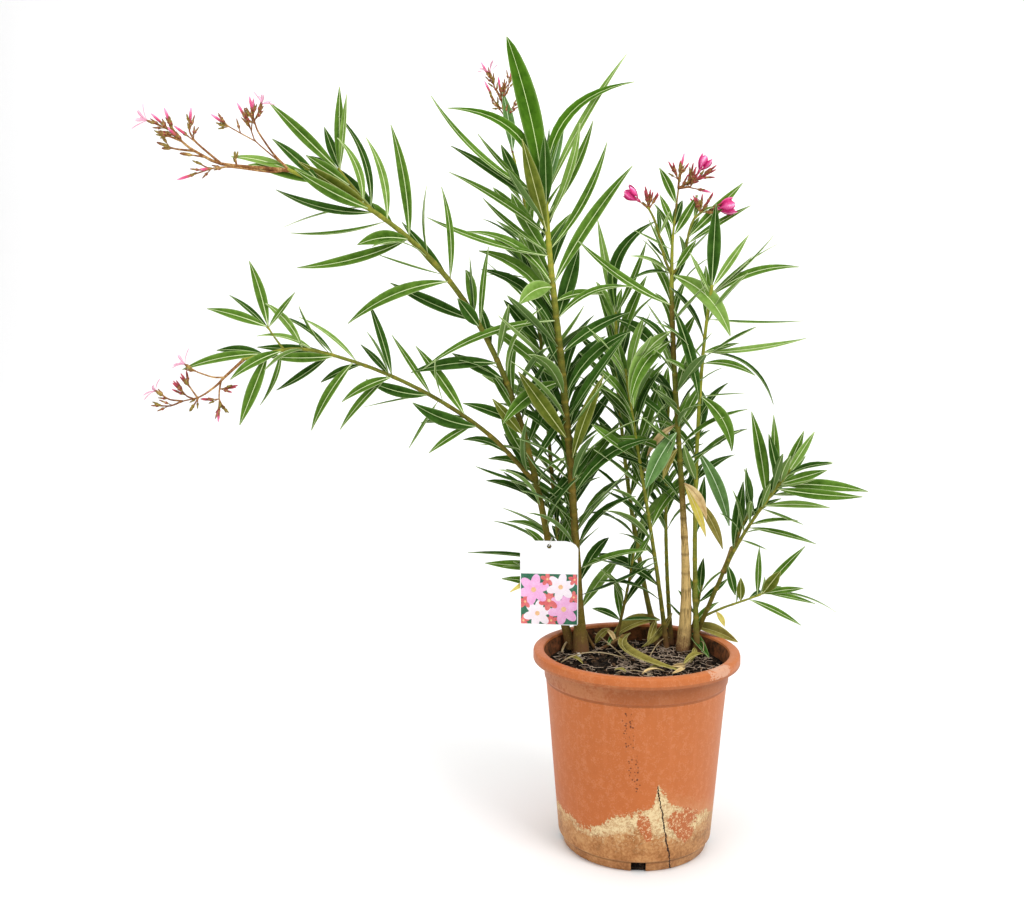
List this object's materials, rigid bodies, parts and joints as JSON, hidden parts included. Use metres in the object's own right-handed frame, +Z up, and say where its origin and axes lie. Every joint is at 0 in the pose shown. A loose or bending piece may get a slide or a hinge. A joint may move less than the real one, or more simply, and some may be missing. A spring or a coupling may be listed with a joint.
{
  "type": "potted oleander shrub",
  "caption": "Flowering oleander in a tapered nursery pot: upright and long arching stems, narrow leathery leaves in separate leafy masses, pink flower trusses, and a hanging picture label.",
  "frame": {"origin": "on the floor under the middle of the pot's flat underside", "axes": "+Z up, -Y towards the front from which the long arching stems reach to the left, +X to the right of that front"},
  "size_m": [0.8821, 0.3276, 1.0133],
  "materials": {
    "pot_plastic": "smooth matte terracotta-coloured plastic with pale lime stains at the foot",
    "compost": "moist dark peat compost with pale fibres",
    "bark": "green-brown young bark, woody tan at the foot, yellow-green towards the tips",
    "leaf": "leathery satin green leaves with a pale midrib",
    "blossom": "pink petals and buds on reddish stalks",
    "label_card": null,
    "label_loop": "white plastic ring"
  },
  "bodies": {
    "root": {"pot": "pot_plastic", "compost": "compost", "stem_tall": "bark", "stem_high_arch": "bark", "stem_back": "bark", "stem_flowering": "bark", "stem_right": "bark", "stem_inner_back": "bark", "stem_inner": "bark", "stem_rear_right": "bark", "stem_side": "bark", "stem_lowest": "bark", "stem_basal": "bark", "bough_low_arch": "bark", "bough_flowering_left": "bark", "bough_flowering_right": "bark", "foliage_tall_low": "leaf", "foliage_tall_middle": "leaf", "foliage_tall_upper": "leaf", "foliage_arch_low": "leaf", "foliage_arch_middle": "leaf", "foliage_arch_upper": "leaf", "foliage_arch_top": "leaf", "foliage_arch_tip": "leaf", "foliage_low_inner": "leaf", "foliage_low_middle": "leaf", "foliage_low_outer": "leaf", "foliage_low_tip": "leaf", "foliage_back_low": "leaf", "foliage_back_top": "leaf", "foliage_flowering_middle": "leaf", "foliage_flowering_upper": "leaf", "foliage_flowering_top": "leaf", "foliage_right_middle": "leaf", "foliage_right_upper": "leaf", "foliage_inner_back": "leaf", "foliage_inner": "leaf", "foliage_rear_right": "leaf", "foliage_side_top": "leaf", "foliage_lowest": "leaf", "foliage_basal": "leaf", "foliage_tall_crown": "leaf", "foliage_tall_left": "leaf", "foliage_tall_right": "leaf", "foliage_tall_side": "leaf", "foliage_arch_plume": "leaf", "foliage_low_plume": "leaf", "foliage_right_fan": "leaf", "foliage_side_right": "leaf", "foliage_low_left": "leaf", "truss_high_outer": "blossom", "truss_high_inner": "blossom", "truss_low": "blossom", "truss_back": "blossom", "truss_middle": "blossom", "truss_left": "blossom", "truss_right": "blossom", "label_card": "label_card", "label_loop": "label_loop"}
  },
  "joints": []
}
